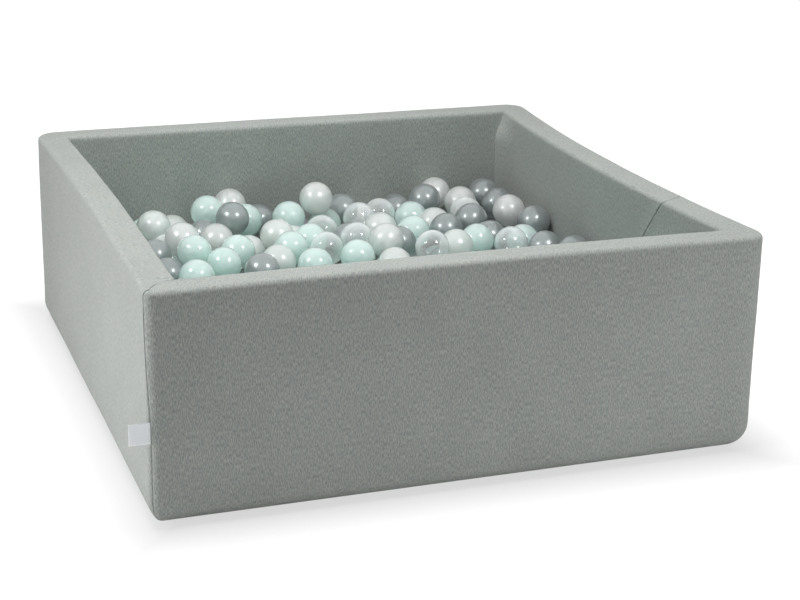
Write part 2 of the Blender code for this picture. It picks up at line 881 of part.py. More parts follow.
def add_loose_balls(rows, places):
    counts = {}
    for row, place in zip(rows, places):
        finish = row[0]
        counts[finish] = counts.get(finish, 0) + 1
        name = finish + "_ball_" + format(counts[finish], "02d")
        ball = add_object(name, ball_mesh(ball_facets), finishes[finish], ball_shade_angle)
        ball.location = place


def swayed(places):
    """The places, each moved a little its own way, so that no row of them stays straight."""
    moved = []
    for number, place in enumerate(places):
        turn = golden_turn * number
        sway = Vector((math.cos(turn), math.sin(turn), math.cos(turn * number)))
        moved.append(place + sway * front_bed_sway)
    return moved


def add_front_balls():
    back = front_bed_edge - ball_radius - fit_gap
    front = ball_limits(Vector((0.0, 0.0, front_bed_height)))[2]
    bed = swayed(bed_places(front, back, front_bed_height, front_bed_spacing, []))
    spread(bed, back)
    add_bed("front_ball_bed", front - ball_radius, front_bed_edge - fit_gap, front_block_top,
            [(bed, front_bed_facets)])


add_cover_strips()
add_floor_layers()
add_foam_boards()
add_zip_tapes()
add_zip_stops()
add_zip_pull(add_zip_slider())
add_side_tag()
add_rear_balls()
add_front_balls()
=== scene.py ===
# Square foam ball pit in a grey melange jersey cover, filled with plastic balls in four finishes.
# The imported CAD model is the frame. Every piece below is in metres, in the same place as its CAD node.

import json
import math
import random

import bmesh
import bpy
import numpy as np
from mathutils import Matrix, Vector, noise

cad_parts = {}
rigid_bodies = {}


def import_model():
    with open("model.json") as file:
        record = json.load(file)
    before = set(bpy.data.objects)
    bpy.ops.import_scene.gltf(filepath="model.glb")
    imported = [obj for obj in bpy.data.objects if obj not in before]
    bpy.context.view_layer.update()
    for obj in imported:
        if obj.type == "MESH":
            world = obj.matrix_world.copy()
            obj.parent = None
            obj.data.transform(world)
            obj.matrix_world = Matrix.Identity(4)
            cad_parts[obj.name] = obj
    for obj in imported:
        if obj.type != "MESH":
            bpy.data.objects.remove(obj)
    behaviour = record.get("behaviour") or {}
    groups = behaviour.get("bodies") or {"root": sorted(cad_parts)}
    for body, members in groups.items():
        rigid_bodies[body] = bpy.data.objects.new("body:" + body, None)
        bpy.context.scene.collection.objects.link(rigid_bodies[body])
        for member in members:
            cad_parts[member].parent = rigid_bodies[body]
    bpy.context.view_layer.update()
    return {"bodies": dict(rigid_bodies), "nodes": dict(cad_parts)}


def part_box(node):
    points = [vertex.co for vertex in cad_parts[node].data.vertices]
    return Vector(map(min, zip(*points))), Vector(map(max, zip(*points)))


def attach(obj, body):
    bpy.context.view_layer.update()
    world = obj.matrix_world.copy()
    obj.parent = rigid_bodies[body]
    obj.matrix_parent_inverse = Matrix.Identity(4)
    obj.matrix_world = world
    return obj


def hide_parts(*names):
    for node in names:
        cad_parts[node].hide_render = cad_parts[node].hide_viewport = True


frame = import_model()


# The camera
# A long lens, a little above the rim and to the left of the front wall, as the photograph was taken.

def add_object(name, data):
    made = bpy.data.objects.new(name, data)
    bpy.context.scene.collection.objects.link(made)
    return made


camera_spot = Vector((-1.0512, -3.0367, 1.2516))
camera_yaw = math.radians(20.203)
camera_pitch = math.radians(18.787)
camera_roll = math.radians(1.155)
camera_data = bpy.data.cameras.new("camera")
camera_data.sensor_width = 36.0
camera_data.lens = 78.42
camera = add_object("camera", camera_data)
camera.matrix_world = (Matrix.Translation(camera_spot) @ Matrix.Rotation(-camera_yaw, 4, "Z")
                       @ Matrix.Rotation(math.pi / 2 - camera_pitch, 4, "X")
                       @ Matrix.Rotation(camera_roll, 4, "Z"))
bpy.context.scene.camera = camera
bpy.context.scene.view_settings.view_transform = "Standard"


# The studio: a white floor and soft lamps
# A wide lamp overhead, a low one for the outer left side, a soft one in front on the right, and two round ones
# that leave only the pair of spots on each ball. Seen straight on, the floor is white away from the pit. Close
# to the pit's foot its glow is turned down, a painted shadow around the pit.

def add_node(tree, kind, values=None, **settings):
    """A node with its settings, and with each input set to a value or linked to a socket."""
    made = tree.nodes.new(kind)
    for name, value in settings.items():
        setattr(made, name, value)
    for name, value in (values or {}).items():
        if isinstance(value, bpy.types.NodeSocket):
            tree.links.new(value, made.inputs[name])
        else:
            made.inputs[name].default_value = value
    return made


def new_tree(name):
    material = bpy.data.materials.new(name)
    material.use_nodes = True
    tree = material.node_tree
    tree.nodes.clear()
    return material, tree


def maths(tree, operation, first, second=0.0):
    return add_node(tree, "ShaderNodeMath", {0: first, 1: second}, operation=operation).outputs[0]


def blend(tree, factor, first, second, **settings):
    """Goes from the first colour to the second as the factor goes from nought to one."""
    return add_node(tree, "ShaderNodeMix", {"Factor": factor, 6: first, 7: second}, data_type="RGBA",
                    **settings).outputs[2]


def object_place(tree):
    return add_node(tree, "ShaderNodeTexCoord").outputs["Object"]


def surface(tree, settings):
    """The material's shader, with these settings of its inputs."""
    shader = add_node(tree, "ShaderNodeBsdfPrincipled", settings)
    add_node(tree, "ShaderNodeOutputMaterial", {"Surface": shader.outputs[0]})


def mesh_from(name, bm, material):
    mesh = bpy.data.meshes.new(name)
    bm.to_mesh(mesh)
    bm.free()
    mesh.materials.append(material)
    return mesh


def seen_mask(tree):
    """One where the camera, a mirror or clear plastic looks at the studio, and nought for its light."""
    path = add_node(tree, "ShaderNodeLightPath").outputs
    direct = maths(tree, "MAXIMUM", path["Is Camera Ray"], path["Is Glossy Ray"])
    return maths(tree, "MAXIMUM", direct, path["Is Transmission Ray"])


floor_size = 40.0
floor_drop = 0.0005
floor_bounce = (0.84, 0.84, 0.84, 1.0)
floor_seen = (0.18, 0.18, 0.18, 1.0)
# Painted shadow on the floor: the glow that the camera sees is turned down at the pit's foot and rises to full
# white further out, reaching a little further in front and behind than at the sides.
painted_shadow_start = 0.505
painted_shadow_end = 0.69
painted_shadow_glow = 0.64
front_painted_shadow_share = 0.94
floor_material, tree = new_tree("studio_floor")
seen = seen_mask(tree)
floor_colour = blend(tree, seen, floor_bounce, floor_seen)
spot = add_node(tree, "ShaderNodeSeparateXYZ", {0: object_place(tree)}).outputs
beside = maths(tree, "ABSOLUTE", spot[0])
before = maths(tree, "MULTIPLY", maths(tree, "ABSOLUTE", spot[1]), front_painted_shadow_share)
# The floor's glow, lowest at the pit's foot: a painted shadow.
near = add_node(tree, "ShaderNodeMapRange",
                {"Value": maths(tree, "MAXIMUM", beside, before), "From Min": painted_shadow_start,
                 "From Max": painted_shadow_end, "To Min": painted_shadow_glow, "To Max": 1.0})
surface(tree, {"Base Color": floor_colour, "Roughness": 1.0, "Specular IOR Level": 0.0,
               "Emission Color": (1.0, 1.0, 1.0, 1.0),
               "Emission Strength": maths(tree, "MULTIPLY", seen, near.outputs[0])})
bm = bmesh.new()
bmesh.ops.create_grid(bm, x_segments=1, y_segments=1, size=floor_size / 2)
floor = add_object("studio_floor", mesh_from("studio_floor", bm, floor_material))
floor.location.z = -floor_drop

sky_strength = 0.20
sky = bpy.data.worlds.new("studio_sky")
bpy.context.scene.world = sky
sky.use_nodes = True
tree = sky.node_tree
tree.nodes.clear()
strength = add_node(tree, "ShaderNodeMix", {"Factor": seen_mask(tree), 2: sky_strength, 3: 1.0},
                    data_type="FLOAT")
background = add_node(tree, "ShaderNodeBackground",
                      {"Color": (1.0, 1.0, 1.0, 1.0), "Strength": strength.outputs[0]})
add_node(tree, "ShaderNodeOutputWorld", {"Surface": background.outputs[0]})


def add_lamp(name, spot, aim, width, depth, power, shape="RECTANGLE"):
    lamp_data = bpy.data.lights.new(name, "AREA")
    lamp_data.shape = shape
    lamp_data.size = width
    if shape == "RECTANGLE":
        lamp_data.size_y = depth
    lamp_data.energy = power
    lamp = add_object(name, lamp_data)
    lamp.location = spot
    lamp.rotation_euler = (Vector(aim) - Vector(spot)).to_track_quat("-Z", "Y").to_euler()
    lamp.visible_camera = False
    lamp.visible_glossy = shape == "DISK"
    lamp.visible_diffuse = shape != "DISK"


add_lamp("overhead_lamp", (-0.34, -0.22, 2.6), (-0.34, -0.22, 0.4), 1.8, 1.0, 79.0)
add_lamp("low_left_lamp", (-1.8, -0.45, 0.22), (-0.55, -0.45, 0.20), 0.2, 0.40, 9.0)
add_lamp("right_fill_lamp", (1.2, -1.7, 0.40), (0.3, -0.5, 0.2), 0.9, 0.6, 6.4)
add_lamp("left_spot_lamp", (-1.06, -0.08, 1.12), (0.0, 0.2, 0.22), 0.34, 0.34, 5.5, "DISK")
add_lamp("right_spot_lamp", (0.58, -1.07, 1.57), (0.0, 0.2, 0.22), 0.46, 0.46, 10.0, "DISK")


# Foam boards and floor mat
# Four walls of cut upholstery foam, mitred at the corners, and a thin mat that closes the floor. They stay
# inside the cover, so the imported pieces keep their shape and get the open-cell finish.

def bumped(tree, height, strength, depth):
    return add_node(tree, "ShaderNodeBump",
                    {"Height": height, "Strength": strength, "Distance": depth}).outputs[0]


def finish_nodes(names, material):
    for name in names:
        frame["nodes"][name].data.materials.clear()
        frame["nodes"][name].data.materials.append(material)


foam_nodes = ["front_foam_board", "right_foam_board", "back_foam_board", "left_foam_board", "floor_mat_foam"]
foam_material, tree = new_tree("open_cell_foam")
place = object_place(tree)
cells = add_node(tree, "ShaderNodeTexVoronoi", {"Vector": place, "Scale": 700.0})
tone = add_node(tree, "ShaderNodeTexNoise", {"Vector": place, "Scale": 9.0, "Detail": 3.0})
shade = blend(tree, tone.outputs[0], (0.84, 0.82, 0.74, 1.0), (0.91, 0.90, 0.85, 1.0))
pores = bumped(tree, cells.outputs["Distance"], 0.6, 0.0006)
surface(tree, {"Base Color": shade, "Roughness": 0.95, "Normal": pores})
finish_nodes(foam_nodes, foam_material)


# Knitted cover
# Two long strips of grey melange jersey, folded over the foam and sewn at the front-left corner and across
# the right wall. The knit runs up the outside, over the rim and down the inside.

broad_patch = (0.11, 0.16)
hue_patch = (0.006, 0.022)
cool_tint = (0.955, 0.975, 0.98, 1.0)
warm_tint = (1.04, 1.025, 1.005, 1.0)


def add_sockets(group, in_out, kind, names):
    for name in names:
        group.interface.new_socket(name, in_out=in_out, socket_type="NodeSocket" + kind)


def melange_group():
    """Heathered jersey from a place on the cloth in metres: its colour, and the height of its stitches."""
    group = bpy.data.node_groups.new("melange_knit", "ShaderNodeTree")
    add_sockets(group, "INPUT", "Vector", ["Cloth Place"])
    add_sockets(group, "INPUT", "Color", ["Dark Yarn", "Light Yarn"])
    add_sockets(group, "INPUT", "Float", ["Streak Width", "Streak Length", "Stitch Width"])
    add_sockets(group, "OUTPUT", "Color", ["Colour"])
    add_sockets(group, "OUTPUT", "Float", ["Height"])
    given = add_node(group, "NodeGroupInput").outputs
    part = add_node(group, "ShaderNodeSeparateXYZ", {0: given["Cloth Place"]})
    across, along = part.outputs[0], part.outputs[1]

    def ratio(top, bottom):
        return maths(group, "DIVIDE", top, bottom)

    def yarn_noise(wide, long, detail):
        spot = add_node(group, "ShaderNodeCombineXYZ", {0: wide, 1: long})
        return add_node(group, "ShaderNodeTexNoise", {"Vector": spot.outputs[0], "Scale": 1.0, "Detail": detail,
                                                      "Roughness": 0.62}, noise_dimensions="2D").outputs[0]

    def spread_out(value, low, high, **limits):
        return add_node(group, "ShaderNodeMapRange",
                        {"Value": value, "From Min": low, "From Max": high, **limits}).outputs[0]

    wide = ratio(across, given["Streak Width"])
    long = ratio(along, given["Streak Length"])
    streaks = spread_out(yarn_noise(wide, long, 1.0), 0.30, 0.70)
    broad = yarn_noise(ratio(across, broad_patch[0]), ratio(along, broad_patch[1]), 2.0)
    hue = spread_out(yarn_noise(ratio(across, hue_patch[0]), ratio(along, hue_patch[1]), 1.0), 0.35, 0.65)
    yarn = blend(group, streaks, given["Dark Yarn"], given["Light Yarn"])
    tint = blend(group, hue, cool_tint, warm_tint)
    tinted = blend(group, 1.0, yarn, tint, blend_type="MULTIPLY")
    tone = spread_out(broad, 0.3, 0.7, **{"To Min": 0.97, "To Max": 1.03})
    toned = add_node(group, "ShaderNodeVectorMath", {0: tinted, "Scale": tone}, operation="SCALE").outputs[0]
    wale = ratio(across, given["Stitch Width"])
    course = ratio(along, given["Stitch Width"])
    ridge = maths(group, "PINGPONG", wale, 0.5)
    loop = maths(group, "PINGPONG", maths(group, "ADD", course, ridge), 0.5)
    height = maths(group, "ADD", maths(group, "ADD", ridge, loop), streaks)
    add_node(group, "NodeGroupOutput", {"Colour": toned, "Height": height})
    return group


melange_knit = melange_group()
dark_yarn = (0.247, 0.266, 0.252, 1.0)
light_yarn = (0.398, 0.417, 0.400, 1.0)
streak_width = 0.0014
streak_length = 0.0068
stitch_width = 0.0013


def knit_material(name, dark, light):
    material, tree = new_tree(name)
    cloth = add_node(tree, "ShaderNodeUVMap", uv_map="cloth")
    knit = add_node(tree, "ShaderNodeGroup",
                    {"Cloth Place": cloth.outputs[0], "Dark Yarn": dark, "Light Yarn": light,
                     "Streak Width": streak_width, "Streak Length": streak_length,
                     "Stitch Width": stitch_width}, node_tree=melange_knit).outputs
    surface(tree, {"Base Color": knit["Colour"], "Roughness": 0.95, "Specular IOR Level": 0.2,
                   "Sheen Weight": 0.25, "Sheen Roughness": 0.45,
                   "Normal": bumped(tree, knit["Height"], 0.18, 0.0005)})
    return material


cover_knit = knit_material("grey_melange_jersey", dark_yarn, light_yarn)

pit_half = 0.55
pit_height = 0.40
wall_thickness = 0.060
cloth_thickness = 0.0016
foot_radius = 0.045
rim_radius = 0.009
mat_level = 0.0344
corner_radius = 0.045
seam_corner_radius = 0.018
right_seam_y = -0.295
rim_sag = {"front": 0.013, "right": 0.033, "left": 0.010}
window_reach = 0.43
window_low = 0.069
window_high = 0.081

pit_corners = {"front_left": (-1, -1, seam_corner_radius, math.pi),
               "front_right": (1, -1, corner_radius, 1.5 * math.pi),
               "back_right": (1, 1, corner_radius, 0.0), "back_left": (-1, 1, corner_radius, 0.5 * math.pi)}
pit_walls = {"front": (0, -1), "right": (1, 0), "back": (0, 1), "left": (-1, 0)}


def sagged(x, y, z):
    """Leans a point inwards with the rim of its wall, most at mid length and not at all at the mat."""
    lift = min(max((z - mat_level) / (pit_height - mat_level), 0.0), 1.0)
    by_x = max(0.0, 1.0 - (x / pit_half) ** 2)
    by_y = max(0.0, 1.0 - (y / pit_half) ** 2)
    x -= rim_sag["right"] * by_y * lift * min(max(x / pit_half, 0.0), 1.0)
    x += rim_sag["left"] * by_y * lift * min(max(-x / pit_half, 0.0), 1.0)
    y += rim_sag["front"] * by_x * lift * min(max(-y / pit_half, 0.0), 1.0)
    return Vector((x, y, z))


def outer_spot(station, offset):
    kind, name, value = station
    if kind == "wall":
        side_x, side_y = pit_walls[name]
        reach = pit_half - offset
        along = min(max(value, -reach), reach)
        return (along, side_y * reach) if side_x == 0 else (side_x * reach, along)
    side_x, side_y, radius, start = pit_corners[name]
    left = max(radius - offset, 0.0)
    reach = pit_half - offset - left
    return side_x * reach + left * math.cos(value), side_y * reach + left * math.sin(value)


def inner_spot(station, offset):
    kind, name, value = station
    reach = pit_half - wall_thickness + offset
    if kind == "corner":
        return pit_corners[name][0] * reach, pit_corners[name][1] * reach
    side_x, side_y = pit_walls[name]
    along = min(max(value, -reach), reach)
    return (along, side_y * reach) if side_x == 0 else (side_x * reach, along)


def eased(value):
    value = min(max(value, 0.0), 1.0)
    return value * value * (3 - 2 * value)


slack_depth = 0.018
slack_start = 0.40
slack_run = 0.09
slack_top = 0.394
slack_drop = 0.060


def slack_at(x, y, z):
    """How far the lining of the back right corner hangs in from the rim, where the cloth is loose."""
    along_x, along_y = (eased((place - slack_start) / slack_run) for place in (x, y))
    return slack_depth * along_x * along_y * eased((slack_top - z) / slack_drop)


foot_steps = 10
outer_levels = 36
rim_steps = 6
flat_steps = 8
inner_levels = 34


def section_rings():
    """The wall's section from under the foot to the mat: share towards the inside, depth and height."""
    rings = []
    for step in range(foot_steps + 1):
        turn = math.pi / 2 * step / foot_steps
        rings.append((0.0, foot_radius * (1 - math.sin(turn)), foot_radius * (1 - math.cos(turn))))
    top = pit_height - rim_radius
    levels = np.linspace(foot_radius, top, outer_levels)[1:-1].tolist() + [window_low, window_high]
    rings += [(0.0, 0.0, level) for level in sorted(levels)]
    rim = [(rim_radius * (1 - math.cos(turn)), top + rim_radius * math.sin(turn))
           for turn in np.linspace(0.0, math.pi / 2, rim_steps + 1)]
    rings += [(0.0, offset, level) for offset, level in rim]
    rings += [(share, rim_radius, pit_height) for share in np.linspace(0.0, 1.0, flat_steps + 1)[1:-1]]
    rings += [(1.0, offset, level) for offset, level in reversed(rim)]
    rings += [(1.0, 0.0, level) for level in np.linspace(top, mat_level, inner_levels)[1:]]
    return rings


wall_step = 0.010
least_step = 0.0012
corner_steps = (0.0, 0.0015, 0.0035, 0.0065)
seam_steps = (0.0, 0.0010, 0.0022, 0.0035, 0.0047, 0.0060, 0.0078)


def wall_places(start, end, seams=()):
    """Stations along a wall, closer together at its inner corners and at a seam."""
    count = max(2, round(abs(end - start) / wall_step))
    places = list(np.linspace(start, end, count + 1))
    inner = pit_half - wall_thickness
    fine = [side * (inner - near) for side in (-1, 1) for near in corner_steps]
    fine += [seam + side * near for seam in seams for side in (-1, 1) for near in seam_steps]
    low, high = min(start, end), max(start, end)
    fine = [place for place in fine if low <= place <= high]
    kept = [place for place in places if all(abs(place - other) > least_step for other in fine)]
    return sorted(set(kept + fine), reverse=end < start)


def corner_places(name, first, last, steps):
    start = pit_corners[name][3]
    return [("corner", name, start + math.pi / 2 * share) for share in np.linspace(first, last, steps + 1)]


def wall_run(name, start, end, seams=()):
    return [("wall", name, place) for place in wall_places(start, end, seams)]


straight = pit_half - corner_radius
pinched = pit_half - seam_corner_radius
front_stations = corner_places("front_left", 0.5, 1.0, 6)
front_stations += wall_run("front", -pinched, straight)[1:]
front_stations += corner_places("front_right", 0.0, 1.0, 12)[1:]
front_stations += wall_run("right", -straight, right_seam_y, [right_seam_y])[1:]
rear_stations = wall_run("right", right_seam_y, straight, [right_seam_y])
rear_stations += corner_places("back_right", 0.0, 1.0, 12)[1:]
rear_stations += wall_run("back", straight, -straight, [-window_reach, window_reach])[1:]
rear_stations += corner_places("back_left", 0.0, 1.0, 12)[1:]
rear_stations += wall_run("left", straight, -pinched)[1:]
rear_stations += corner_places("front_left", 0.0, 0.5, 6)[1:]


seam_reach = 0.17
seam_outside = 0.022
seam_over_rim = 0.024
seam_at_lining = -0.002
seam_down_lining = 0.081
seam_lining_drop = 0.098
seam_drops = 1.6


def seam_shift(share, level):
    """How far the right wall's seam stands from a straight cut, on its way over the rim and down inside."""
    if share < 1.0:
        return seam_outside - seam_over_rim * share
    return seam_at_lining + seam_down_lining * min((pit_height - level) / seam_lining_drop, seam_drops)


lean_share = 0.42
lean_start = 0.15
lean_rise = 0.20


def corner_seam(station, share, level):
    """Turns a place on the sewn corner, so that its seam leans to the left side near the rim."""
    turn = (station[2] - math.pi) / (math.pi / 2)
    seam = 0.5 - lean_share * eased((level - lean_start) / lean_rise) * (1.0 - share)
    turned = turn * seam / 0.5 if turn < 0.5 else seam + (turn - 0.5) * (1.0 - seam) / 0.5
    return ("corner", "front_left", math.pi + turned * math.pi / 2)


bulge_height = 0.008
bulge_width = 0.05


def seam_bulge(spot, share):
    """How far the sewn corner's seam bows towards the back left on the rim, between the two faces."""
    off_line = (spot.x - spot.y) / math.sqrt(2)
    near = math.exp(-(off_line / bulge_width) ** 2) if spot.x < 0 and spot.y < 0 else 0.0
    return bulge_height * math.sin(math.pi * share) * near / math.sqrt(2)


def cloth_grid(stations, rings):
    """Points of a strip, by station and ring, with each station's and ring's place on the cloth."""
    points = np.zeros((len(stations), len(rings), 3))
    for row, station in enumerate(stations):
        for column, (share, offset, level) in enumerate(rings):
            moved = station
            if station[0] == "wall" and station[1] == "right":
                near = 1.0 - abs(station[2] - right_seam_y) / seam_reach
                moved = ("wall", "right", station[2] + seam_shift(share, level) * eased(near))
            if station[:2] == ("corner", "front_left"):
                moved = corner_seam(station, share, level)
            outer = Vector(outer_spot(moved, offset))
            inner = Vector(inner_spot(moved, offset))
            spot = outer.lerp(inner, share)
            if share == 1.0:
                spot.x -= slack_at(spot.x, spot.y, level)
            bow = seam_bulge(spot, share)
            spot += Vector((-bow, bow))
            points[row, column] = sagged(spot.x, spot.y, level)
    middle = len(rings) // 4
    across = np.concatenate([[0.0], np.cumsum(np.linalg.norm(np.diff(points[:, middle], axis=0), axis=1))])
    wall_row = len(stations) // 3
    along = np.concatenate([[0.0], np.cumsum(np.linalg.norm(np.diff(points[wall_row], axis=0), axis=1))])
    return points, across, along


def grid_normals(points):
    """Outward directions of a grid of points, taken from its neighbours."""
    down = np.gradient(points, axis=1)
    over = np.gradient(points, axis=0)
    normals = np.cross(over, down)
    length = np.linalg.norm(normals, axis=2, keepdims=True)
    return np.where(length > 1e-12, normals / np.maximum(length, 1e-12), 0.0)


def bump_shape(place, width):
    return math.exp(-(place / width) ** 2)


# Broad waves and ripples, a seam's groove, the swell beside it, its row of stitches and its gathers, the back
# corner's crease, and the foot, where all of it fades out
wave_height, wave_count = 0.0007, 6.0
ripple_height, ripple_count = 0.0003, 19.0
groove_depth, groove_width = 0.0009, 0.0010
swell_height, swell_place, swell_width = 0.0005, 0.0050, 0.0030
row_depth, row_place, row_width = 0.0007, 0.0047, 0.0008
gather_height, gather_pitch, gather_length, gather_fade = 0.0006, 0.008, 0.03, 0.010
crease_depth, crease_place, crease_width = 0.0022, 0.0015, 0.0016
crease_top, crease_fade, crease_reach = 0.385, 0.02, 0.01
foot_fade = 0.02


def relief_at(spot, from_start, from_end, along, rim_share, stitched):
    """How far the cloth stands off its plain shape: soft waves, seam grooves, gathers and creases."""
    relief = wave_height * noise.noise(spot * wave_count) + ripple_height * noise.noise(spot * ripple_count)
    for reach, seed in ((from_start, 3.0), (from_end, 11.0)):
        relief -= groove_depth * bump_shape(reach, groove_width)
        relief += swell_height * bump_shape(reach - swell_place, swell_width)
        relief -= row_depth * bump_shape(reach - row_place, row_width) if stitched else 0.0
        gather = noise.noise(Vector((along / gather_pitch, seed, reach / gather_length)))
        relief += gather_height * math.exp(-reach / gather_fade) * gather
    relief += corner_puckers(spot)
    inner = pit_half - wall_thickness
    if rim_share == 1.0 and spot.y > inner - crease_reach:
        off_crease = inner - slack_at(inner, inner, spot.z) - spot.x - crease_place
        fade = eased((crease_top - spot.z) / crease_fade)
        relief -= crease_depth * bump_shape(off_crease, crease_width) * fade
    return relief * eased(spot.z / foot_fade)


pucker_low = 0.37
pucker_reach = 0.08
pucker_start = 0.008
pucker_fade = 0.035
pucker_folds = 11.0
pucker_turn = 1.2
sewn_pucker = 0.0016
plain_pucker = 0.0005


def corner_puckers(spot):
    """Faint folds on the rim that fan out from each inner corner, strongest at the sewn one."""
    inner = pit_half - wall_thickness
    out_x = abs(spot.x) - inner
    out_y = abs(spot.y) - inner
    reach = math.hypot(out_x, out_y)
    if spot.z < pucker_low or reach > pucker_reach:
        return 0.0
    size = sewn_pucker if spot.x < 0.0 and spot.y < 0.0 else plain_pucker
    fan = math.sin(pucker_folds * math.atan2(out_y, out_x) + pucker_turn)
    return size * fan * bump_shape(reach, pucker_fade) * eased(reach / pucker_start)


def sew_strip(name, stations, ring_list, window):
    """A strip of cloth as a closed thin body, with a slot for the zip, or else stitches by its seams."""
    points, across, along = cloth_grid(stations, ring_list)
    normals = grid_normals(points)
    for row in range(len(stations)):
        for column in range(len(ring_list)):
            spot = Vector(points[row, column])
            relief = relief_at(spot, across[row], across[-1] - across[row], along[column], ring_list[column][0],
                               not window)
            points[row, column] += normals[row, column] * relief
    bm = bmesh.new()
    layer = bm.loops.layers.uv.new("cloth")
    known = {}
    grid = []
    for row in range(len(stations)):
        line = []
        for column in range(len(ring_list)):
            key = (column, *(round(value, 6) for value in points[row, column]))
            if key not in known:
                known[key] = bm.verts.new(points[row, column])
            line.append(known[key])
        grid.append(line)
    for row in range(len(stations) - 1):
        for column in range(len(ring_list) - 1):
            if window and in_window(stations[row], stations[row + 1], ring_list[column], ring_list[column + 1]):
                continue
            places = [(row, column), (row, column + 1), (row + 1, column + 1), (row + 1, column)]
            verts = [grid[first][second] for first, second in places]
            kept = [number for number in range(4) if verts[number] not in verts[:number]]
            if len(kept) < 3:
                continue
            face = bm.faces.new([verts[number] for number in kept])
            for loop, number in zip(face.loops, kept):
                loop[layer].uv = (across[places[number][0]], along[places[number][1]])
    bmesh.ops.recalc_face_normals(bm, faces=bm.faces)
    return cloth_body(name, bm, cover_knit, cloth_thickness)


def in_window(first, second, ring, following):
    if first[:2] != ("wall", "back") or second[:2] != ("wall", "back") or ring[0] > 0.0:
        return False
    middle = (first[2] + second[2]) / 2
    level = (ring[2] + following[2]) / 2
    return abs(middle) < window_reach and window_low < level < window_high


def cloth_body(name, bm, material, thickness):
    """An object from a skin, with the cloth's thickness on its inner side."""
    piece = add_object(name, mesh_from(name, bm, material))
    thick = piece.modifiers.new("thickness", "SOLIDIFY")
    thick.thickness = thickness
    thick.offset = -1.0
    bpy.context.view_layer.update()
    solid = bpy.data.meshes.new_from_object(piece.evaluated_get(bpy.context.evaluated_depsgraph_get()))
    piece.modifiers.clear()
    piece.data = solid
    solid.shade_smooth()
    return piece


strip_rings = section_rings()
strip_facts = [("front_cover_cloth", front_stations, "front_cover_strip", False),
               ("rear_cover_cloth", rear_stations, "rear_cover_strip", True)]
for name, stations, node, window in strip_facts:
    strip = sew_strip(name, stations, strip_rings, window)
    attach(strip, "pit")
    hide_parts(node)


# Mat cover and underside
# Plain grey lining, cut square. One piece covers the mat under the balls, and one closes the underside.

lining_knit = knit_material("grey_lining_jersey", (0.20, 0.215, 0.205, 1.0), (0.31, 0.325, 0.315, 1.0))
lining_thickness = 0.0012
lining_cells = 60
lining_wave = 0.00025
lining_wave_count = 14
lining_edge_drop = 0.0005
lining_edge_fade = 0.004


def lining_panel(name, node, facing):
    low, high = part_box(node)
    bm = bmesh.new()
    layer = bm.loops.layers.uv.new("cloth")
    level = high.z if facing > 0 else low.z
    grid = []
    for across in np.linspace(low.x, high.x, lining_cells + 1):
        grid.append([])
        for along in np.linspace(low.y, high.y, lining_cells + 1):
            place = Vector((across * lining_wave_count, along * lining_wave_count, level))
            wave = lining_wave * noise.noise(place)
            edge = min(across - low.x, high.x - across, along - low.y, high.y - along)
            soft = lining_edge_drop * math.exp(-edge / lining_edge_fade)
            grid[-1].append(bm.verts.new((across, along, level - facing * (abs(wave) + soft))))
    for row in range(lining_cells):
        for column in range(lining_cells):
            face = bm.faces.new([grid[row][column], grid[row + 1][column], grid[row + 1][column + 1],
                                 grid[row][column + 1]])
            if facing < 0:
                face.normal_flip()
            for loop in face.loops:
                loop[layer].uv = loop.vert.co.xy
    piece = cloth_body(name, bm, lining_knit, lining_thickness)
    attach(piece, "pit")
    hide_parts(node)


lining_panel("mat_cover_cloth", "floor_mat_cover", 1)
lining_panel("underside_cloth", "base_panel", -1)


# Zip
# A nylon coil zip along the foot of the back wall, for taking the cover off. Two woven tapes are sewn behind
# the slot, and each carries a coil bent from one thread. The slider, its pull and the end stops are metal.

tape_material, tree = new_tree("woven_zip_tape")
place = object_place(tree)
weave = add_node(tree, "ShaderNodeTexWave", {"Vector": place, "Scale": 320.0, "Distortion": 0.6},
                 bands_direction="DIAGONAL")
shade = blend(tree, weave.outputs[0], (0.10, 0.11, 0.105, 1.0), (0.16, 0.17, 0.165, 1.0))
ribs = bumped(tree, weave.outputs[0], 0.5, 0.0002)
surface(tree, {"Base Color": shade, "Roughness": 0.85, "Normal": ribs})
tape_thickness = 0.0006
tape_rows = 8
tape_columns = 120
tape_rib_depth = 0.00008


def woven_tape(name, node):
    low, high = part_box(node)
    bm = bmesh.new()
    rows = []
    for across in np.linspace(0.0, 1.0, tape_rows + 1):
        level = low.z + (high.z - low.z) * across
        proud = high.y - tape_rib_depth * (1 - math.cos(across * math.pi * tape_rows)) / 2
        rows.append([bm.verts.new((along, proud, level)) for along in np.linspace(low.x, high.x, tape_columns)])
    for first, second in zip(rows, rows[1:]):
        for number in range(len(first) - 1):
            bm.faces.new([first[number], second[number], second[number + 1], first[number + 1]])
    bmesh.ops.recalc_face_normals(bm, faces=bm.faces)
    if next(iter(bm.faces)).normal.y < 0:
        bmesh.ops.reverse_faces(bm, faces=bm.faces)
    piece = cloth_body(name, bm, tape_material, tape_thickness)
    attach(piece, "pit")
    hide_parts(node)


woven_tape("upper_tape_cloth", "upper_zip_tape")
woven_tape("lower_tape_cloth", "lower_zip_tape")

coil_material, tree = new_tree("nylon_zip_coil")
place = object_place(tree)
rub = add_node(tree, "ShaderNodeTexNoise", {"Vector": place, "Scale": 260.0, "Detail": 2.0})
shade = blend(tree, rub.outputs[0], (0.12, 0.13, 0.125, 1.0), (0.20, 0.21, 0.205, 1.0))
surface(tree, {"Base Color": shade, "Roughness": 0.38})
coil_pitch = 0.0016
steps_per_turn = 8
thread_radius = 0.00034
thread_sides = (0.0, math.pi / 2, math.pi, 1.5 * math.pi)


